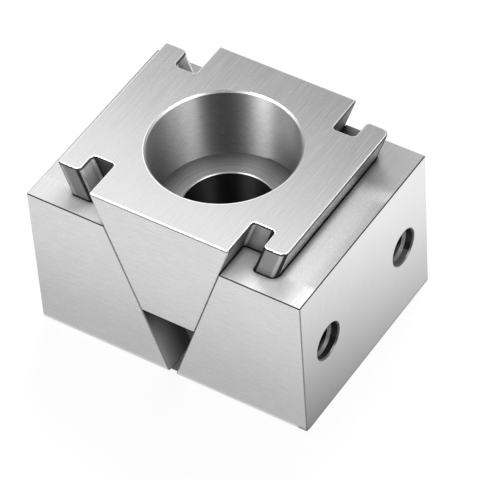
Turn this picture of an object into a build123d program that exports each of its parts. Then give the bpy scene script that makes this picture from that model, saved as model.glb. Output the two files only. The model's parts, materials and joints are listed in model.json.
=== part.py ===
from build123d import *
from math import cos, radians, sin, tan
import os

# Closed clamp, in millimetres: X is the direction of clamping, Y the depth, Z up.
# The origin is on the screw's axis, in the plane that both jaws stand on.
clamp_depth = 24.0
closed_length = 32.0
jaw_height = 18.0
jaw_edge_break = 0.1

# Centre wedge
wedge_height = 14.1
wedge_stand = 4.0
wedge_top_width = 16.3
wedge_rounding = 0.18
incline_angle = 19.5

# T-rail on each inclined side of the wedge, measured square to the incline
neck_width = 14.8
neck_length = 2.4
neck_root_radius = 0.5
neck_foot_radius = 0.35
flange_width = 19.7
flange_thickness = 2.5
right_flange_outer_radius = 0.8
right_flange_inner_radius = 0.4
left_flange_outer_radius = 0.3
left_flange_inner_radius = 0.6

# Seat and passage of the clamping screw
counterbore_diameter = 15.6
counterbore_depth = 8.7
counterbore_chamfer = 0.2
counterbore_corner_radius = 0.15
screw_hole_diameter = 9.9
screw_hole_chamfer = 0.1

# Pair of tapped holes in the clamping face of each jaw
side_hole_spacing = 14.6
side_hole_height = 9.0
side_hole_diameter = 4.0
side_hole_chamfer = 0.15
side_hole_floor = 0.6
drill_point_angle = 118.0

# Running clearances: wedge flank to jaw flank, and rail to slot all round
flank_clearance = 0.02
slot_clearance = 0.1

# Places that follow from the sizes
incline = radians(incline_angle)
wedge_top = jaw_height + wedge_stand
wedge_bottom = wedge_top - wedge_height
counterbore_floor = wedge_top - counterbore_depth
foot_offset = wedge_top_width / 2 - wedge_top * tan(incline)
rail_reach = (neck_length + flange_thickness) / cos(incline)
through_length = 2 * wedge_top / cos(incline)
neck_overlap = neck_length / 2

# How close an edge or a corner lies to where it is looked for
pick_tolerance = 0.01

# Right flank of the wedge: local X leaves the wedge square to it, local Z climbs it
flank_plane = Plane(
    origin=(foot_offset, 0, 0),
    x_dir=(cos(incline), 0, -sin(incline)),
    z_dir=(sin(incline), 0, cos(incline)),
)


def near(value, target):
    """Whether a measure equals the one that is looked for."""
    return abs(value - target) < pick_tolerance


def flank_x(z):
    """Half width of the wedge's body at a height above the base plane."""
    return foot_offset + z * tan(incline)


def beside_neck(solid, clearance):
    """Inclined edges where a flank meets the neck's two sides, or the sides of the neck's slot."""
    half_width = neck_width / 2 + clearance
    edges = solid.edges().filter_by(lambda edge: near(abs(edge.center().Y), half_width))
    reach = flank_clearance + pick_tolerance
    return edges.filter_by(lambda edge: abs(abs(edge.center().X) - flank_x(edge.center().Z)) < reach)


def side_profile(points):
    """Face drawn in the front view from (x, z) points and pulled to the clamp's full depth."""
    outline = make_face(Plane.XZ * Polyline(*points, close=True))
    return extrude(outline, amount=clamp_depth / 2, both=True)


def tee_profile(outer_radius, inner_radius):
    """Section of the rail: a neck that starts inside the wedge and a wider flange."""
    neck = Rectangle(neck_overlap + neck_length, neck_width, align=(Align.MIN, Align.CENTER))
    flange = Rectangle(flange_thickness, flange_width, align=(Align.MIN, Align.CENTER))
    tee = Pos(-neck_overlap, 0) * neck + Pos(neck_length, 0) * flange
    tee = fillet(tee.vertices().group_by(Axis.X)[-1], outer_radius)
    under_flange = tee.vertices().filter_by(lambda corner: near(corner.X, neck_length))
    by_width = under_flange.sort_by(lambda corner: abs(corner.Y))
    tee = fillet(by_width[-2:], inner_radius)
    under_flange = tee.vertices().filter_by(lambda corner: near(corner.X, neck_length))
    by_width = under_flange.sort_by(lambda corner: abs(corner.Y))
    return fillet(by_width[:2], neck_root_radius)


def rail(outer_radius, inner_radius):
    """Right rail, cut level with the wedge's top and bottom."""
    bar = extrude(flank_plane * tee_profile(outer_radius, inner_radius), amount=through_length, both=True)
    level = Pos(0, 0, wedge_bottom) * Box(
        2 * closed_length, 2 * clamp_depth, wedge_height, align=(Align.CENTER, Align.CENTER, Align.MIN)
    )
    return bar & level


def slot(outer_radius, inner_radius):
    """What the right jaw is cut with: the rail's section grown by its clearance."""
    section = offset(tee_profile(outer_radius, inner_radius), amount=slot_clearance, kind=Kind.INTERSECTION)
    return extrude(flank_plane * section, amount=through_length, both=True)


def side_hole(depth):
    """Blind hole down -Z from the origin, with a chamfered mouth and a drill point."""
    radius = side_hole_diameter / 2
    point_height = radius / tan(radians(drill_point_angle / 2))
    half_section = Polyline(
        (0, 0),
        (radius + side_hole_chamfer, 0),
        (radius, -side_hole_chamfer),
        (radius, point_height - depth),
        (0, -depth),
        close=True,
    )
    return revolve(make_face(Plane.XZ * half_section), axis=Axis.Z)


def rim(solid, radius, height):
    """Circular edge of a bore on the screw's axis, picked by its radius and height."""
    circles = solid.edges().filter_by(GeomType.CIRCLE)
    return circles.filter_by(lambda edge: near(edge.center().Z, height) and near(edge.radius, radius))


def make_wedge():
    """Tapered body with a rail on each flank, bored for the screw and its head."""
    body = side_profile(
        [
            (-flank_x(wedge_bottom), wedge_bottom),
            (flank_x(wedge_bottom), wedge_bottom),
            (flank_x(wedge_top), wedge_top),
            (-flank_x(wedge_top), wedge_top),
        ]
    )
    right_rail = rail(right_flange_outer_radius, right_flange_inner_radius)
    left_rail = mirror(rail(left_flange_outer_radius, left_flange_inner_radius), about=Plane.YZ)
    wedge = body + right_rail + left_rail
    wedge = fillet(beside_neck(wedge, 0), neck_foot_radius)
    top_outline = wedge.faces().sort_by(Axis.Z)[-1].outer_wire().edges()
    end_edges = wedge.edges().filter_by(lambda edge: near(abs(edge.center().Y), clamp_depth / 2))
    corners = end_edges.filter_by(lambda edge: abs(edge.tangent_at(0.5).Z) > pick_tolerance)
    wedge = fillet(top_outline + corners, wedge_rounding)
    wedge -= Pos(0, 0, wedge_top) * CounterBoreHole(
        radius=screw_hole_diameter / 2,
        counter_bore_radius=counterbore_diameter / 2,
        counter_bore_depth=counterbore_depth,
        depth=wedge_height,
    )
    wedge = chamfer(rim(wedge, counterbore_diameter / 2, wedge_top), counterbore_chamfer)
    wedge = fillet(rim(wedge, counterbore_diameter / 2, counterbore_floor), counterbore_corner_radius)
    for height in (counterbore_floor, wedge_bottom):
        wedge = chamfer(rim(wedge, screw_hole_diameter / 2, height), screw_hole_chamfer)
    return wedge


def make_jaw(outer_radius, inner_radius):
    """Right jaw: a block with an inclined flank, the T-slot along it and two tapped holes."""
    half_length = closed_length / 2
    jaw = side_profile(
        [
            (flank_x(0) + flank_clearance, 0),
            (half_length, 0),
            (half_length, jaw_height),
            (flank_x(jaw_height) + flank_clearance, jaw_height),
        ]
    )
    jaw = chamfer(jaw.edges(), jaw_edge_break)
    jaw -= slot(outer_radius, inner_radius)
    jaw = fillet(beside_neck(jaw, slot_clearance), neck_foot_radius)
    behind_slot = half_length - flank_x(side_hole_height) - rail_reach
    hole = side_hole(behind_slot - side_hole_floor)
    for side in (-1, 1):
        place = Plane(origin=(half_length, side * side_hole_spacing / 2, side_hole_height), z_dir=(1, 0, 0))
        jaw -= place * hole
    return jaw


centre_wedge = make_wedge()
right_jaw = make_jaw(right_flange_outer_radius, right_flange_inner_radius)
left_jaw = mirror(make_jaw(left_flange_outer_radius, left_flange_inner_radius), about=Plane.YZ)

os.makedirs("parts", exist_ok=True)
for name, piece in (("centre_wedge", centre_wedge), ("left_jaw", left_jaw), ("right_jaw", right_jaw)):
    piece.label = name
    export_step(piece, f"parts/{name}.step")

opening = 2 * wedge_stand * tan(incline)
print(f"jaws open {opening:.2f} mm while the wedge goes down {wedge_stand:.2f} mm")
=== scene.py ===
import json
import math

import bmesh
import bpy
from mathutils import Matrix, Vector


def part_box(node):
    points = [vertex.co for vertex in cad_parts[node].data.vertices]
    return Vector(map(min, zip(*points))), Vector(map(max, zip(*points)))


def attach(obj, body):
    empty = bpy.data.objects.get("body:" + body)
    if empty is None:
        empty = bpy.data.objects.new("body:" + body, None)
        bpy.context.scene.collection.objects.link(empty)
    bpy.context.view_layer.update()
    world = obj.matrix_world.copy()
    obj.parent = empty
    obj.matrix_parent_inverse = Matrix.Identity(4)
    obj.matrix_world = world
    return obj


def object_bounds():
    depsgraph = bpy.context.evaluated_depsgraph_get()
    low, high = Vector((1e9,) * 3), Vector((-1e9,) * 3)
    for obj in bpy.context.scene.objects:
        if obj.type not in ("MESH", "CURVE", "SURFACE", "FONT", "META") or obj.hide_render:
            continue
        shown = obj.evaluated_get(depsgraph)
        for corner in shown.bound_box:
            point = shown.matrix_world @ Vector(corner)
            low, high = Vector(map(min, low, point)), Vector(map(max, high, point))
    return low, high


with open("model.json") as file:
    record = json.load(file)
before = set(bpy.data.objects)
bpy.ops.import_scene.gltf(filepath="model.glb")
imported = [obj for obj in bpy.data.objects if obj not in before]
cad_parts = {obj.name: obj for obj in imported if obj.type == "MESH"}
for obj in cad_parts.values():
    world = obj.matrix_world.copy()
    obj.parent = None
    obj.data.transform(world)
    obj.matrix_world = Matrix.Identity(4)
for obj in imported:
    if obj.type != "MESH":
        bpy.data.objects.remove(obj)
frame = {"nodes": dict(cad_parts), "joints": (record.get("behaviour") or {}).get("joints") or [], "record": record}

cadLow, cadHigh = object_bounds()
mm = 0.001
mounts = {mount["name"]: mount for mount in frame["record"]["mounts"]}
print("frame loaded")


class Sock:
    # an output of a node, so that shader values are written as sums

    def __init__(self, finish, socket):
        self.finish = finish
        self.socket = socket

    def calc(self, operation, *values):
        return self.finish.put("ShaderNodeMath", {"operation": operation}, dict(enumerate(values)))

    def __add__(self, other):
        return self.calc("ADD", self, other)

    def __radd__(self, other):
        return self.calc("ADD", other, self)

    def __sub__(self, other):
        return self.calc("SUBTRACT", self, other)

    def __rsub__(self, other):
        return self.calc("SUBTRACT", other, self)

    def __mul__(self, other):
        return self.calc("MULTIPLY", self, other)

    def __rmul__(self, other):
        return self.calc("MULTIPLY", other, self)

    def __gt__(self, other):
        return self.calc("GREATER_THAN", self, other)

    def __lt__(self, other):
        return self.calc("LESS_THAN", self, other)

    def __abs__(self):
        return self.calc("ABSOLUTE", self)

    def most(self, other):
        return self.calc("MAXIMUM", self, other)

    def out(self, name):
        return Sock(self.finish, self.socket.node.outputs[name])


class Finish:
    # a material or the world, filled with nodes

    def __init__(self, owner):
        self.owner = owner
        owner.use_nodes = True
        self.tree = owner.node_tree
        self.tree.nodes.clear()

    def put(self, kind, settings=None, sockets=None, out=0):
        # settings first, then the values or links of the sockets
        step = self.tree.nodes.new(kind)
        for name, value in (settings or {}).items():
            if name == "stops":
                for stop in range(2, len(value)):
                    step.color_ramp.elements.new(1.0)
                for element, (position, grey) in zip(step.color_ramp.elements, value):
                    element.position = position
                    element.color = (grey, grey, grey, 1)
            else:
                setattr(step, name, value)
        for name, value in (sockets or {}).items():
            if isinstance(value, Sock):
                self.tree.links.new(value.socket, step.inputs[name])
            else:
                step.inputs[name].default_value = value
        return Sock(self, step.outputs[out]) if len(step.outputs) else None


# Places that follow from the clamp

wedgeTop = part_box("centre_wedge")[1]
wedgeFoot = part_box("centre_wedge")[0].z
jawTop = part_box("right_jaw")[1].z
slide = next(joint for joint in frame["joints"] if joint["name"] == "wedge_slide")["axis"]
leaning = -slide[0] / slide[2]               # of the wedge's flanks, sideways for each step up
flangeFoot = wedgeTop.x - wedgeTop.z * leaning
boreRadius = mounts["counterbore"]["dims"]["r_mm"]
holeRadius = mounts["screw_hole"]["dims"]["r_mm"]
squareOn = 0.97                              # share of a normal that counts as facing straight that way
mostlyUp = 0.8


class Spot:
    # where a point of a piece lies when the clamp is closed, and which way it faces there

    def __init__(self, finish):
        self.finish = finish
        self.place = finish.put("ShaderNodeTexCoord", out="Object")
        self.x = finish.put("ShaderNodeSeparateXYZ", sockets={0: self.place})
        self.y = self.x.out("Y")
        self.z = self.x.out("Z")
        facing = finish.put("ShaderNodeSeparateXYZ", sockets={0: self.place.out("Normal")})
        self.backward = facing.out("Y")
        self.acrossX = abs(facing)
        self.acrossY = abs(self.backward)
        self.upward = abs(facing.out("Z"))
        self.facingSide = self.acrossX > squareOn
        self.facingUp = self.upward > mostlyUp


def between(value, low, high):
    return (value > low) * (value < high)


def ramp(value, start, end):
    # rises smoothly from 0 at the start to 1 at the end
    return value.finish.put(
        "ShaderNodeMapRange",
        {"interpolation_type": "SMOOTHSTEP"},
        {"Value": value, "From Min": start, "From Max": end},
    )


def band(value, low, high, soft):
    # 1 from low to high, with soft ends
    return ramp(value, low - soft, low + soft) * ramp(value, high + soft, high - soft)


def blend(start, end, share):
    return start + (end - start) * share


def greyColour(finish, tone):
    return finish.put("ShaderNodeCombineColor", sockets={"Red": tone, "Green": tone, "Blue": tone})


# Ground steel of the wedge and the jaws

steelLook = {
    "grey": 0.64,            # mean reflectance of the bare steel
    "roughness": 0.26,
    "roughnessContrast": 0.12,
    "lineWidth": 0.16,       # mm, the scratches left by the grinding wheel
    "lineLength": 4.0,       # mm
    "frontWidth": 1.3,       # times that width on the fronts
    "frontLength": 0.4,      # times that length
    "sideContrast": 0.5,     # on the clamping faces
    "lineContrast": 0.22,
    "lineDepth": 0.003,      # mm
    "cloudSize": 7.0,        # mm, the slow changes of tone over a face
    "cloudContrast": 0.06,
}

edgeLook = {
    "shineGrey": 0.98,       # painted highlight beside the wedge's upper edges and round the bore
    "shineUpward": (0.8, 0.995),     # the part of the rounding that gets the painted highlight, by how far it faces up
    "shineBackward": 0.2,    # and not where it faces the back
    "breakGrey": 0.27,       # the broken edge itself, painted dark as shade
    "breakRoughness": 0.40,
    "breakReach": 0.30,      # mm, how far the painted shade of the edge runs down from the wedge's top
    "breakAcross": (0.3, 0.95),      # the jaws' broken edges, by how far they face the front or back
    "breakUpward": (0.45, 0.95),     # and up, where they face neither
    "breakSlant": 1.2,       # least sum of a slanting normal's shares
    "soot": 0.06,            # grey of the painted shade in the jaws' upper edges
}

milledLook = {
    "metallic": 0.35,        # faces that were milled and not ground
    "roughness": 0.45,
    "inset": 0.15,           # mm, how far inside the clamp's outline they begin
    "creviceDepth": 1.2,     # how strongly the painted shade darkens the corners
}


def scratches(spot, width, length, along):
    # fine lines that run along one axis of the clamp
    scale = [1 / (width * mm)] * 3
    scale["xyz".index(along)] = 1 / (length * mm)
    stretched = spot.finish.put("ShaderNodeMapping", sockets={"Vector": spot.place, "Scale": scale})
    return spot.finish.put(
        "ShaderNodeTexNoise",
        {"noise_dimensions": "3D"},
        {"Vector": stretched, "Scale": 1.0, "Detail": 3.0, "Roughness": 0.6},
    )


def groundLines(spot, look):
    # height of the scratches, which run another way on each side of the clamp
    width, length = look["lineWidth"], look["lineLength"]
    topLines = scratches(spot, width, length, "y")
    frontLines = scratches(spot, width * look["frontWidth"], length * look["frontLength"], "x")
    sideLines = scratches(spot, width, length, "z")
    lines = topLines * spot.facingUp + sideLines * spot.facingSide * look["sideContrast"]
    lines = lines + frontLines * (1 - spot.facingUp) * (1 - spot.facingSide)
    return lines + (1 - look["sideContrast"]) / 2 * spot.facingSide      # the same mean on every side


def groundShade(spot, lines, look):
    clouds = spot.finish.put(
        "ShaderNodeTexNoise",
        sockets={"Vector": spot.place, "Scale": 1 / (look["cloudSize"] * mm), "Detail": 2.0},
    )
    return (lines - 0.5) * look["lineContrast"] + (clouds - 0.5) * look["cloudContrast"] + 1


def occlusionShade(spot, reach, depth):
    # painted shade from ambient occlusion: 1 in the open and less in the corners, wherever the pieces have moved
    clear = spot.finish.put(
        "ShaderNodeAmbientOcclusion", {"samples": 8}, {"Distance": reach * mm}, out="AO"
    )
    return clear.calc("POWER", clear, depth)


def steelShader(finish, tone, metallic, roughness, lines, look):
    bump = finish.put(
        "ShaderNodeBump", sockets={"Strength": 1.0, "Distance": look["lineDepth"] * mm, "Height": lines}
    )
    return finish.put(
        "ShaderNodeBsdfPrincipled",
        sockets={
            "Base Color": greyColour(finish, tone),
            "Metallic": metallic,
            "Roughness": roughness,
            "Normal": bump,
        },
    )


def shadeCoated(finish, steel, grey, share):
    # a plain dark coat over the steel as painted shade, since even dark steel mirrors the cards at a slant
    soot = finish.put("ShaderNodeBsdfDiffuse", sockets={"Color": (grey, grey, grey, 1)})
    return finish.put("ShaderNodeMixShader", sockets={0: share, 1: steel, 2: soot})


# Turned steel of the counterbore and the screw hole

boreLook = {
    "wallGrey": 0.30,        # turned wall of the counterbore
    "floorGrey": 0.50,       # and its floor, beside the screw hole
    "footGrey": 0.10,        # the floor's outer rim, painted shade at the wall's foot
    "floorMetallic": 0.0,
    "floorUpward": 0.5,      # faces that look further up than this belong to the floor
    "holeGrey": 0.03,        # drilled screw hole, painted dark as the shade inside it
    "holeChamfer": 0.10,     # mm, round its mouth
    "holeRimUpward": (0.2, 0.9),
    "roughness": 0.50,
    "grooveWidth": 0.09,     # mm, the hatching left by the tool
    "grooveLength": 1.6,     # mm
    "grooveSlope": 36.0,     # degrees, both ways from level
    "grooveContrast": 0.8,
    "grooveDepth": 0.001,    # mm
    "ringWidth": 0.15,       # mm, the rings on the counterbore's floor
    "chamfer": 0.20,         # mm, round the counterbore's mouth
    "rimGrey": 0.38,         # of that chamfer
    "rimRoughness": 0.36,
    "rimUpward": (0.1, 0.9),
    "ringFade": (3.0, -2.0),         # mm from the middle, where the painted highlight ring round the mouth begins and is full
}


def hatching(spot, look):
    # crossed grooves on the counterbore's wall, drawn on the unrolled wall
    finish = spot.finish
    turn = finish.put("ShaderNodeMath", {"operation": "ARCTAN2"}, {0: 0 - spot.x, 1: spot.y})
    unrolled = finish.put("ShaderNodeCombineXYZ", sockets={"X": turn * boreRadius * mm, "Y": spot.z})
    slope = math.radians(look["grooveSlope"])
    total = 0
    for side in (-1, 1):
        slanting = finish.put(
            "ShaderNodeMapping",
            {"vector_type": "TEXTURE"},
            {
                "Vector": unrolled,
                "Rotation": (0, 0, side * slope),
                "Scale": (look["grooveLength"] * mm, look["grooveWidth"] * mm, 1),
            },
        )
        grooves = finish.put(
            "ShaderNodeTexNoise",
            {"noise_dimensions": "2D"},
            {"Vector": slanting, "Scale": 1.0, "Detail": 1.0},
        )
        total = grooves * 0.5 + total
    return total


def turnedSteel(spot, look):
    finish = spot.finish
    flat = finish.put("ShaderNodeCombineXYZ", sockets={"X": spot.x, "Y": spot.y})
    fromAxis = finish.put("ShaderNodeVectorMath", {"operation": "LENGTH"}, {0: flat}, out="Value")
    edge = holeRadius * mm
    inHole = fromAxis < edge
    holeRim = fromAxis.calc("COMPARE", fromAxis, edge, look["holeChamfer"] * mm)
    holeRim = holeRim * between(spot.upward, *look["holeRimUpward"])
    level = spot.upward > look["floorUpward"]
    onFloor = level * (1 - inHole) * (1 - holeRim)
    rings = finish.put(
        "ShaderNodeTexNoise",
        {"noise_dimensions": "1D"},
        {"W": fromAxis, "Scale": 1 / (look["ringWidth"] * mm)},
    )
    grooves = blend(hatching(spot, look), rings, level)
    outwards = (fromAxis - edge) * (1 / (boreRadius * mm - edge))
    # the floor darkens outwards to the wall: painted shade
    bare = blend(look["wallGrey"], blend(look["floorGrey"], look["footGrey"], outwards), onFloor)
    # painted shade inside the screw hole
    tone = blend(bare, look["holeGrey"], inHole) * (1 + (grooves - 0.5) * look["grooveContrast"])
    # painted highlight round the screw hole's mouth
    tone = blend(tone, edgeLook["shineGrey"], holeRim)
    bump = finish.put(
        "ShaderNodeBump",
        sockets={"Strength": 1.0, "Distance": look["grooveDepth"] * mm, "Height": grooves},
    )
    return finish.put(
        "ShaderNodeBsdfPrincipled",
        sockets={
            "Base Color": greyColour(finish, tone),
            "Metallic": 1 - (1 - look["floorMetallic"]) * onFloor,
            "Roughness": look["roughness"],
            "Anisotropic": 1.0,
            "Anisotropic Rotation": 0.25,
            "Normal": bump,
        },
    )


# Milled rails, notches and flanks of the wedge
# what is measured from the flange is a level distance in from its outermost face

railLook = {
    "grey": 0.46,            # duller than the ground faces
    "skin": 0.05,            # mm, of the outermost face, still a mirror
    "flangeGrey": 0.40,      # and its grey
    "neckSide": 8.6,         # mm from the middle, the end of the neck's front and back
    "neckHalf": 7.4,         # mm, half the neck's width
    "flankStart": 5.1,       # mm from the flange, where the flank begins
    "flankGrey": 0.17,       # the flanks, painted dark as the shade of the notches
    "flankShade": 0.40,      # and darker still beside the neck, more painted shade
    "flankReach": 11.0,      # mm from the middle, where that ends
    "innerFace": (2.4, 2.9),         # mm from the flange, inner face of the left flange
    "innerReach": 9.6,       # mm from the middle
    # painted light at the front of the left flange's inner face and painted shade at its back
    "frontInnerShade": 1.3,
    "backInnerShade": 0.25,
    "leftEndGrey": 0.42,     # the rails' ends, that face the front or the back, lit and shaded copies of one finish: painted light and shade
    "rightEndGrey": 0.21,
    "leftEdgeGrey": 1.0,     # outer edge of the left rail's front end, a painted highlight
    "edgeReach": (0.85, 0.1),        # mm from the flange, where that brightness starts and is full
    "leftNeckGrey": 0.10,    # front and back of the left neck, darkened as painted shade
    "rightNeckGrey": 0.45,   # and of the right one
    "creviceReach": 1.2,     # mm, how far the painted shade of the corners spreads
}

# each band is low, high and softness, by how far the rounding faces the front or back
foldLook = {
    "leftShineGrey": 0.80,   # roundings of the rails, painted highlights on them
    "rightShineGrey": 0.50,
    "footShineGrey": 0.95,   # and of the right neck's foot
    "dullGrey": 0.04,        # and the painted shade beside it
    "sootGrey": 0.03,        # of the dark coat laid over that painted shade
    "outerFold": 1.3,        # mm from the flange
    "footStart": 4.0,        # mm from the flange
    "leftShine": (0.12, 0.5, 0.1),
    "rightShine": (0.86, 0.975, 0.03),
    "footShine": (0.3, 0.95, 0.06),
    "leftDull": (0.72, 0.99, 0.08),
    "frontDull": (0.3, 0.76, 0.08),
    "backDull": (0.08, 0.8, 0.05),
    "innerDull": (0.05, 0.99),
    "backEnd": (8.7, 8.9),   # mm from the middle, the right flange's back end, where its painted shade begins and is full
    "seatLine": (-0.2, 0.15),        # mm from the jaws' tops, the painted shade line where the rails enter them
    "lineReach": 0.27,       # mm, the painted shade line under the wedge's upper edges
    "lineShare": 0.8,
}


class Rail:
    # zones of the wedge's rails

    def __init__(self, spot):
        self.right = spot.x > 0
        self.fromMiddle = abs(spot.y)
        self.fromFlange = flangeFoot - abs(spot.x) + spot.z * leaning
        self.besideNeck = self.fromMiddle < railLook["neckSide"] * mm
        self.leftFront = (1 - self.right) * (spot.y < 0)
        self.openEnd = self.leftFront * (spot.acrossY > squareOn) * (1 - self.besideNeck)
        self.outerFold = self.fromFlange < foldLook["outerFold"] * mm
        self.neckFoot = self.besideNeck * (self.fromFlange > foldLook["footStart"] * mm)


def railGrey(spot, rail, look):
    # grey of the rails' milled faces, with painted light and shade
    neckHalf = look["neckHalf"] * mm
    # painted shade on the flanks, darkest beside the neck
    flankShade = blend(look["flankShade"], 1, ramp(rail.fromMiddle, neckHalf, look["flankReach"] * mm))
    onFlank = rail.fromFlange > look["flankStart"] * mm
    grey = blend(look["grey"], look["flankGrey"] * flankShade, onFlank)
    # painted light and shade on the left flange's inner face
    innerShade = blend(look["frontInnerShade"], look["backInnerShade"], spot.y > 0)
    innerShade = blend(innerShade, 1, ramp(rail.fromMiddle, neckHalf, look["innerReach"] * mm))
    innerLow, innerHigh = look["innerFace"]
    onInnerFace = between(rail.fromFlange, innerLow * mm, innerHigh * mm) * (1 - rail.right)
    grey = blend(grey, look["grey"] * innerShade, onInnerFace)
    # painted highlight on the outer edge of the left rail's front end
    edgeStart, edgeFull = look["edgeReach"]
    endHighlight = rail.leftFront * ramp(rail.fromFlange, edgeStart * mm, edgeFull * mm)
    leftEnd = blend(look["leftEndGrey"], look["leftEdgeGrey"], endHighlight)
    # painted light and shade on the rails' ends and necks
    endGrey = blend(leftEnd, look["rightEndGrey"], rail.right)
    neckGrey = blend(look["leftNeckGrey"], look["rightNeckGrey"], rail.right)
    return blend(grey, blend(endGrey, neckGrey, rail.besideNeck), spot.acrossY > squareOn)


def railFolds(spot, rail, folded, look):
    # shares of the painted highlight and of the painted shade lines
    shineRight = rail.outerFold * band(spot.acrossY, *look["rightShine"])
    shineRight = shineRight + rail.neckFoot * band(spot.acrossY, *look["footShine"])
    shine = folded * blend(band(spot.acrossY, *look["leftShine"]), shineRight, rail.right)
    backDull = band(spot.acrossY, *look["backDull"])
    frontDull = band(spot.acrossY, *look["frontDull"])
    outerFoldShade = blend(backDull, frontDull, spot.y < 0)
    innerFold = 1 - rail.outerFold.most(rail.neckFoot)
    rightFoldShade = rail.outerFold * outerFoldShade + innerFold * between(spot.acrossY, *look["innerDull"])
    paintedShade = folded * blend(band(spot.acrossY, *look["leftDull"]), rightFoldShade, rail.right)
    endStart, endFull = look["backEnd"]
    backEnd = folded * rail.right * rail.outerFold * ramp(spot.y, endStart * mm, endFull * mm)
    below, above = look["seatLine"]
    seatLine = folded * between(spot.z, jawTop + below * mm, jawTop + above * mm)
    underEdge = folded * (spot.z > cadHigh.z - look["lineReach"] * mm)
    return shine, paintedShade.most(backEnd).most(seatLine).most(look["lineShare"] * underEdge)


def makeWedgeSteel(name, look):
    finish = Finish(bpy.data.materials.new(name))
    spot = Spot(finish)
    lines = groundLines(spot, look)
    shade = groundShade(spot, lines, look)
    squared = spot.x * spot.x + spot.y * spot.y
    chamfer = boreLook["chamfer"]
    nearBore = squared < ((boreRadius + 1.5 * chamfer) * mm) ** 2
    folded = (1 - spot.facingUp) * (1 - nearBore) * (abs(spot.y) < cadHigh.y - milledLook["inset"] * mm)
    rail = Rail(spot)
    outermost = folded * (rail.fromFlange < railLook["skin"] * mm)
    milled = folded * (1 - outermost)

    tone = blend(shade * look["grey"], railLook["flangeGrey"], outermost)
    tone = blend(tone, shade * railGrey(spot, rail, railLook), milled)
    # painted shade in the corners of the rails and notches
    corners = occlusionShade(spot, railLook["creviceReach"], milledLook["creviceDepth"])
    tone = tone * blend(1, corners, folded * (1 - rail.openEnd))
    shine, paintedShade = railFolds(spot, rail, folded, foldLook)
    # painted highlights on the roundings
    foldShine = blend(foldLook["leftShineGrey"], foldLook["rightShineGrey"], rail.right)
    tone = blend(tone, blend(foldShine, foldLook["footShineGrey"], rail.neckFoot), shine)
    # painted shade on the roundings, the back end, the seats and under the upper edges
    tone = blend(tone, foldLook["dullGrey"], paintedShade)

    nearTop = spot.z > cadHigh.z - edgeLook["breakReach"] * mm
    rim = nearBore * nearTop * between(spot.upward, *boreLook["rimUpward"])
    fadeStart, fadeFull = boreLook["ringFade"]
    # painted highlight ring round the counterbore's mouth, fading towards the back
    ring = nearBore * (squared > ((boreRadius + chamfer) * mm) ** 2) * spot.facingUp
    ring = ring * ramp(spot.y, fadeStart * mm, fadeFull * mm)
    # painted highlight along the wedge's upper edges
    edgeHighlight = nearTop * between(spot.upward, *edgeLook["shineUpward"]) * (1 - nearBore)
    edgeHighlight = edgeHighlight * (spot.backward < edgeLook["shineBackward"])
    broken = nearTop * (spot.upward < edgeLook["shineUpward"][0]) * (1 - nearBore)
    tone = blend(tone, edgeLook["shineGrey"], edgeHighlight + ring)
    tone = blend(tone, boreLook["rimGrey"], rim)
    # painted shade on the broken edges
    tone = blend(tone, edgeLook["breakGrey"], broken)

    roughness = look["roughness"] + (lines - 0.5) * look["roughnessContrast"]
    roughness = blend(roughness, milledLook["roughness"], milled)
    roughness = blend(roughness, boreLook["rimRoughness"], rim)
    roughness = blend(roughness, edgeLook["breakRoughness"], broken)
    metallic = 1 - (1 - milledLook["metallic"]) * milled * (1 - shine)
    steel = steelShader(finish, tone, metallic, roughness, lines, look)
    # painted shade laid as a dark coat over the dark bands
    steel = shadeCoated(finish, steel, foldLook["sootGrey"], paintedShade)
    inBore = nearBore * (spot.z < cadHigh.z - chamfer * mm)
    turned = turnedSteel(spot, boreLook)
    steel = finish.put("ShaderNodeMixShader", sockets={0: inBore, 1: steel, 2: turned})
    finish.put("ShaderNodeOutputMaterial", sockets={"Surface": steel})
    return finish.owner


# Slots, tops and tapped holes of the jaws

slotLook = {
    "grey": 0.52,            # the milled slots and the jaws' flanks
    "shadeStart": 7.8,       # mm from the middle of the depth, within which the painted shade is darkest
    "shadeLeast": 0.20,
    "shadeTop": 0.12,        # painted shade under the wedge's foot
    "shadeReach": 5.0,       # mm below the wedge's foot, where that ends
}

# the tops are matt in the front notches and along the front and the right jaw's back, with painted light and
# shade: lighter on the right and darkest along the right jaw's back
topLook = {
    "leftNotchGrey": 0.60,
    "rightNotchGrey": 0.84,
    "leftFrontGrey": 0.54,
    "rightFrontGrey": 0.75,
    "backGrey": 0.29,
    "notchReach": (13.2, 10.7),      # mm to the side, where the notches' grey starts and is full
    "notchStart": (-6.0, -8.0),      # mm from the middle of the depth
    "frontStart": (-8.6, -9.6),
    "backStart": (3.5, 6.5),
    "creviceReach": 0.7,     # mm, how far the painted shade beside the wedge spreads
    "backNotch": (11.2, 7.2),        # mm across and in depth, the right back notch
    "backReach": 4.0,        # mm, how far the painted shade in it spreads
    "backDepth": 3.5,
}

tappedLook = {
    "grey": 0.15,            # inside of the tapped holes, painted dark as their shade
    "roughness": 0.30,
    "mouthGrey": 0.10,       # their chamfered mouths, painted darker still
    "chamfer": 0.15,         # mm
    "reach": 2.16,           # mm, out to the rim of the chamfered mouth
    "depth": 6.8,            # mm
}


def slotGrey(spot, look):
    # grey with painted shade, darker deeper in and under the wedge's foot
    start = look["shadeStart"] * mm
    depth = (abs(spot.y) - start) * (1 / (cadHigh.y - start))
    below = blend(look["shadeTop"], 1, ramp(spot.z, wedgeFoot, wedgeFoot - look["shadeReach"] * mm))
    return below * look["grey"] * depth.most(look["shadeLeast"])


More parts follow.
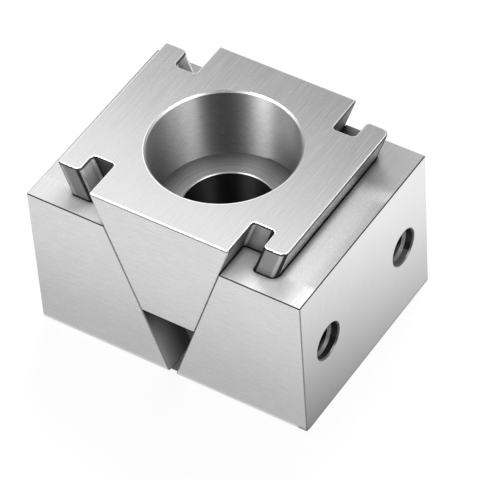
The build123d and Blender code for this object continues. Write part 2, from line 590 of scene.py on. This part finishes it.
def mattTop(spot, look):
    # share and grey of the matt areas, the grey being painted light and shade

    def rise(value, key):
        start, full = look[key]
        return ramp(value, start * mm, full * mm)

    right = spot.x > 0
    nearWedge = rise(abs(spot.x), "notchReach")
    alongBack = rise(spot.y, "backStart") * right
    inNotch = nearWedge * rise(spot.y, "notchStart")
    share = inNotch.most(rise(spot.y, "frontStart")).most(alongBack) * spot.facingUp
    notchGrey = blend(look["leftNotchGrey"], look["rightNotchGrey"], right)
    frontGrey = blend(look["leftFrontGrey"], look["rightFrontGrey"], right)
    return share, blend(blend(frontGrey, notchGrey, nearWedge), look["backGrey"], alongBack)


def insideOutline(spot, inset):
    # 1 on the jaws' inner faces, which lie inside their outline
    across = abs(spot.x) < cadHigh.x - inset * mm
    along = abs(spot.y) < cadHigh.y - inset * mm
    return across * along * between(spot.z, inset * mm, jawTop - inset * mm)


def tappedHole(spot, look):
    # 1 inside the tapped holes, which lie the same way in both jaws
    pattern = mounts["right_side_holes"]
    across = abs(spot.y) - pattern["dims"]["spacing_x_mm"] / 2 * mm
    above = spot.z - pattern["pos_m"][2]
    nearAxis = (across * across + above * above) < (look["reach"] * mm) ** 2
    return nearAxis * (abs(spot.x) > pattern["pos_m"][0] - look["depth"] * mm)


def makeJawSteel(name, look):
    finish = Finish(bpy.data.materials.new(name))
    spot = Spot(finish)
    lines = groundLines(spot, look)
    shade = groundShade(spot, lines, look)
    inTapped = tappedHole(spot, tappedLook)
    inMouth = inTapped * (abs(spot.x) > cadHigh.x - tappedLook["chamfer"] * mm)
    milled = insideOutline(spot, milledLook["inset"]) * (1 - inTapped)

    matt, mattGrey = mattTop(spot, topLook)
    # painted light and shade on the matt tops
    tone = blend(shade * look["grey"], shade * mattGrey, matt)
    # painted shade on the jaw's top in the right back notch
    notchSide, notchStart = topLook["backNotch"]
    inBackNotch = spot.facingUp * between(spot.x, 0, notchSide * mm) * (spot.y > notchStart * mm)
    tone = tone * blend(1, occlusionShade(spot, topLook["backReach"], topLook["backDepth"]), inBackNotch)
    tone = blend(tone, shade * slotGrey(spot, slotLook), milled)
    # painted shade on the jaws' tops beside the wedge
    corners = occlusionShade(spot, topLook["creviceReach"], milledLook["creviceDepth"])
    tone = tone * blend(1, corners, spot.facingUp * (1 - milled))

    slanted = between(spot.acrossY, *edgeLook["breakAcross"])
    slantedUp = between(spot.upward, *edgeLook["breakUpward"])
    slanted = slanted + slantedUp * (spot.acrossY < edgeLook["breakAcross"][0])
    slanting = spot.acrossY + spot.upward + spot.acrossX > edgeLook["breakSlant"]
    broken = slanted * slanting * (1 - milled) * (1 - inTapped)
    # painted shade inside the tapped holes and their mouths
    tone = blend(tone, tappedLook["grey"], inTapped)
    tone = blend(tone, tappedLook["mouthGrey"], inMouth)
    # painted shade on the jaws' broken edges
    tone = blend(tone, edgeLook["breakGrey"], broken)

    roughness = look["roughness"] + (lines - 0.5) * look["roughnessContrast"]
    roughness = blend(roughness, milledLook["roughness"], milled)
    roughness = blend(roughness, tappedLook["roughness"], inTapped)
    roughness = blend(roughness, edgeLook["breakRoughness"], broken)
    metallic = 1 - (1 - milledLook["metallic"]) * milled - matt * (1 - milled)
    steel = steelShader(finish, tone, metallic, roughness, lines, look)
    # painted shade laid as a dark coat on the jaws' upper broken edges
    steel = shadeCoated(finish, steel, edgeLook["soot"], broken * (spot.upward > edgeLook["breakUpward"][0]))
    finish.put("ShaderNodeOutputMaterial", sockets={"Surface": steel})
    return finish.owner


wedgeSteel = makeWedgeSteel("wedgeSteel", steelLook)
jawSteel = makeJawSteel("jawSteel", steelLook)
for node, steel in (("centre_wedge", wedgeSteel), ("left_jaw", jawSteel), ("right_jaw", jawSteel)):
    frame["nodes"][node].data.materials[0] = steel
print("steel finishes made")


# Threads of the tapped holes

threadLook = {
    "pitch": 0.7,            # mm
    "ridge": 0.33,           # mm, how far the thread stands in from the hole's wall
    "wallGap": 0.01,         # mm, between the ridge's root and the wall
    "crest": 0.09,           # mm, width of the flat on top of the ridge
    "root": 0.62,            # mm, width of the ridge at the wall
    "start": 0.20,           # mm, from the clamping face to the first turn
    "length": 5.0,           # mm
    "least": 0.02,           # of the ridge's height, at its ends
    "steps": 32,             # to a turn
    "runOut": 0.5,           # turns over which each end fades into the wall
}


def makeThread(name, body, pattern, side, look):
    # a helical ridge that winds inwards along the hole, which opens towards the jaw's outside
    outwards = pattern["axis"][0]
    mouth = Vector(pattern["pos_m"])
    mouth.y += side * pattern["dims"]["spacing_x_mm"] / 2 * mm
    wall = pattern["dims"]["hole_r_mm"] - look["wallGap"]
    turns = (look["length"] - look["root"]) / look["pitch"]
    count = int(turns * look["steps"]) + 1
    halfRoot, halfCrest = look["root"] / 2, look["crest"] / 2
    verts, faces = [], []
    for step in range(count):
        turn = step / look["steps"]
        fade = min(turn, turns - turn) / look["runOut"]
        height = look["ridge"] * min(1, max(look["least"], fade))
        angle = 2 * math.pi * turn * outwards
        across = Vector((0, math.cos(angle), math.sin(angle)))
        middle = look["start"] + halfRoot + turn * look["pitch"]
        profile = ((-halfRoot, 0), (-halfCrest, height), (halfCrest, height), (halfRoot, 0))
        for along, inward in profile:
            depth = Vector((-outwards * (middle + along), 0, 0))
            verts.append(mouth + (depth + across * (wall - inward)) * mm)
        if step:
            last, this = 4 * (step - 1), 4 * step
            for corner in range(4):
                after = (corner + 1) % 4
                faces.append((last + corner, last + after, this + after, this + corner))
    faces += [(3, 2, 1, 0), (4 * count - 4, 4 * count - 3, 4 * count - 2, 4 * count - 1)]
    mesh = bpy.data.meshes.new(name)
    mesh.from_pydata(verts, [], faces)
    outside = bmesh.new()
    outside.from_mesh(mesh)
    bmesh.ops.recalc_face_normals(outside, faces=outside.faces)
    outside.to_mesh(mesh)
    outside.free()
    thread = bpy.data.objects.new(name, mesh)
    bpy.context.scene.collection.objects.link(thread)
    thread.data.materials.append(jawSteel)
    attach(thread, body)


for jaw in ("left", "right"):
    for side, end in ((-1, "Front"), (1, "Back")):
        makeThread(f"{jaw}Thread{end}", f"{jaw}_jaw", mounts[f"{jaw}_side_holes"], side, threadLook)
print("threads made")


# Floor, lights and camera

studio = {
    "floorSize": 1.6,        # m
    "floorGrey": 0.9,
    "underGrey": 0.25,       # painted shadow of the floor under the clamp
    "underInset": 0.4,       # mm, how far behind the clamp's front that painted shadow begins
    "worldLight": 0.85,      # what the world sheds on the clamp and the floor
    "floorLift": 0.88,       # how far the floor is lifted to white, except under the clamp
}

# each card glows or shades, and only its mirror image in the steel shows; places and sizes in mm
# the rim cards and shades draw the bright and dark arcs on the counterbore's rim
cards = {
    "overheadCard": {
        "place": (-38, 53, 90), "aim": (-38, 53, 0), "turn": -11.5, "size": (170, 130), "along": "Y",
        "stops": ((0.0, 1.4), (0.43, 1.4), (0.585, 0.46), (1.0, 0.46)),
    },
    "highLeftCard": {
        "place": (-45, -26, 92), "aim": (-45, -26, 0), "turn": 0, "size": (70, 30), "along": "Y",
        "stops": ((0.0, 2.2), (1.0, 2.2)),
    },
    "eastCard": {
        "place": (100, -7, 120), "aim": (0, -7, 120), "turn": 0, "size": (64, 156), "along": "Y",
        "stops": ((0.0, 7.0), (0.4, 7.0), (1.0, 18.0)),
    },
    "cameraCard": {
        "place": (113, -85, 155), "aim": (15, -60, 155), "turn": 0, "size": (92, 295), "along": "X",
        "stops": ((0.0, 0.05), (1.0, 0.05)),
    },
    "frontCard": {
        "place": (-15, -130, 155), "aim": (-15, 0, 155), "turn": 0, "size": (300, 295), "along": "X",
        "stops": ((0.0, 0.45), (0.20, 0.45), (0.24, 8.0), (0.44, 8.0), (0.48, 0.05), (1.0, 0.05)),
    },
    "highFrontCard": {
        "place": (-60, -125, 215), "aim": (-60, 0, 215), "turn": 0, "size": (67, 170), "along": "Y",
        "stops": ((0.0, 10.0), (1.0, 24.0)),
    },
    "rimEastCard": {
        "place": (96, 39, 82), "aim": (0, 39, 82), "turn": 0, "size": (40, 26), "along": "X",
        "stops": ((0.0, 6.0), (1.0, 6.0)),
    },
    "rimEastShade": {
        "place": (95, -7, 106), "aim": (0, -7, 106), "turn": 0, "size": (70, 24), "along": "X",
        "stops": ((0.0, 0.3), (1.0, 0.3)),
    },
    "rimFrontCard": {
        "place": (-95, -60, 68), "aim": (0, 0, 68), "turn": 0, "size": (80, 38), "along": "X",
        "stops": ((0.0, 5.0), (1.0, 5.0)),
    },
    "rimFrontShade": {
        "place": (-20, -118, 120), "aim": (-20, 0, 120), "turn": 0, "size": (70, 26), "along": "X",
        "stops": ((0.0, 0.3), (1.0, 0.3)),
    },
    "rightCard": {
        "place": (28, 9.5, 28), "aim": (13.4, 0, 24), "turn": 0, "size": (50, 14), "along": "X",
        "stops": ((0.0, 3.8), (0.35, 3.8), (0.75, 1.6), (1.0, 1.6)),
    },
    "frontFloorCard": {
        "place": (-7, -32.2, 0.08), "aim": (-7, -32.2, -1), "turn": 0, "size": (80, 40), "along": "Y",
        "stops": ((0.0, 1.05), (0.69, 1.05), (0.93, 0.72), (1.0, 0.70)),
    },
    "rightFloorCard": {
        "place": (30, 5, 0.05), "aim": (30, 5, -1), "turn": 19.8, "size": (40, 70), "along": "X",
        "stops": ((0.0, 0.28), (0.485, 1.27), (1.0, 1.27)),
    },
}

lampLook = {
    "place": (-60, 170, 230),        # mm
    "aim": (0, 0, 0),
    "size": 160,             # mm, of its square
    "power": 0.8,            # W
}

cameraLook = {
    "azimuth": 35.44,        # degrees, round from the front towards the right
    "elevation": 46.17,
    "roll": -4.40,
    "distance": 364.24,      # mm
    "lens": 264.25,
    "aim": (-1.733, 3.945, 4.050),   # mm, a point on the camera's axis
}


def plate(name, width, depth):
    mesh = bpy.data.meshes.new(name)
    x, y = width / 2, depth / 2
    mesh.from_pydata([(-x, -y, 0), (x, -y, 0), (x, y, 0), (-x, y, 0)], [], [(0, 1, 2, 3)])
    piece = bpy.data.objects.new(name, mesh)
    bpy.context.scene.collection.objects.link(piece)
    return piece


def setUp(piece, place, aim, turn=0):
    # local Z points from the aim to the place, and local X stays level until it is turned about Z
    back = (Vector(place) - Vector(aim)).normalized()
    level = Vector((-back.y, back.x, 0)) if abs(back.z) < 0.999 else Vector((1, 0, 0))
    level.normalize()
    axes = Matrix((level, back.cross(level), back)).transposed()
    piece.matrix_world = (axes @ Matrix.Rotation(math.radians(turn), 3, "Z")).to_4x4()
    piece.location = Vector(place) * mm


def seen(finish):
    # 1 for what the camera sees straight, mirrored or through glass
    path = finish.put("ShaderNodeLightPath", out="Is Camera Ray")
    return path + path.out("Is Glossy Ray") + path.out("Is Transmission Ray")


def makeFloor(look):
    floor = plate("floor", look["floorSize"], look["floorSize"])
    finish = Finish(bpy.data.materials.new("paleFloor"))
    white = finish.put("ShaderNodeEmission", sockets={"Color": (1, 1, 1, 1), "Strength": 1.0})
    at = finish.put("ShaderNodeSeparateXYZ", sockets={0: finish.put("ShaderNodeTexCoord", out="Object")})
    underClamp = (abs(at) < cadHigh.x) * between(
        at.out("Y"), cadLow.y + look["underInset"] * mm, cadHigh.y
    )
    lift = seen(finish) * (1 - underClamp) * look["floorLift"]
    # painted shadow under the clamp
    grey = blend(look["floorGrey"], look["underGrey"], underClamp)
    matt = finish.put("ShaderNodeBsdfDiffuse", sockets={"Color": greyColour(finish, grey)})
    shader = finish.put("ShaderNodeMixShader", sockets={0: lift, 1: matt, 2: white})
    finish.put("ShaderNodeOutputMaterial", sockets={"Surface": shader})
    floor.data.materials.append(finish.owner)


def makeWorld(look):
    world = bpy.data.worlds.new("studio")
    bpy.context.scene.world = world
    finish = Finish(world)
    strength = look["worldLight"] + (1 - look["worldLight"]) * seen(finish)
    light = finish.put("ShaderNodeBackground", sockets={"Color": (1, 1, 1, 1), "Strength": strength})
    finish.put("ShaderNodeOutputWorld", sockets={"Surface": light})


def makeCard(name, look):
    # a card that only mirrors in the steel, with its brightness along one side given by stops
    card = plate(name, look["size"][0] * mm, look["size"][1] * mm)
    setUp(card, look["place"], look["aim"], look["turn"])
    finish = Finish(bpy.data.materials.new(name))
    across = finish.put("ShaderNodeTexCoord", out="Generated")
    split = finish.put("ShaderNodeSeparateXYZ", sockets={0: across})
    glow = finish.put("ShaderNodeValToRGB", {"stops": look["stops"]}, {0: split.out(look["along"])})
    light = finish.put("ShaderNodeEmission", sockets={"Color": (1, 1, 1, 1), "Strength": glow})
    finish.put("ShaderNodeOutputMaterial", sockets={"Surface": light})
    card.data.materials.append(finish.owner)
    card.visible_camera = False
    card.visible_diffuse = False
    card.visible_shadow = False


def makeLamp(name, look):
    # a soft square lamp, which the steel doesn't mirror
    data = bpy.data.lights.new(name, "AREA")
    data.shape = "SQUARE"
    data.size = look["size"] * mm
    data.energy = look["power"]
    lamp = bpy.data.objects.new(name, data)
    bpy.context.scene.collection.objects.link(lamp)
    setUp(lamp, look["place"], look["aim"])
    lamp.visible_glossy = False


def makeCamera(look):
    azimuth, elevation, roll = (math.radians(look[key]) for key in ("azimuth", "elevation", "roll"))
    flat = math.cos(elevation)
    back = Vector((math.sin(azimuth) * flat, -math.cos(azimuth) * flat, math.sin(elevation)))
    level = Vector((math.cos(azimuth), math.sin(azimuth), 0))
    right = level * math.cos(roll) + back.cross(level) * math.sin(roll)
    turn = Matrix((right, back.cross(right), back)).transposed()
    data = bpy.data.cameras.new("camera")
    data.lens = look["lens"]
    data.clip_start, data.clip_end = 0.01, 10
    camera = bpy.data.objects.new("camera", data)
    bpy.context.scene.collection.objects.link(camera)
    camera.matrix_world = turn.to_4x4()
    camera.location = Vector(look["aim"]) * mm + back * look["distance"] * mm
    bpy.context.scene.camera = camera


makeFloor(studio)
makeWorld(studio)
for name, look in cards.items():
    makeCard(name, look)
makeLamp("backLamp", lampLook)
makeCamera(cameraLook)
bpy.context.scene.view_settings.view_transform = "Standard"
print("floor, lights and camera placed")
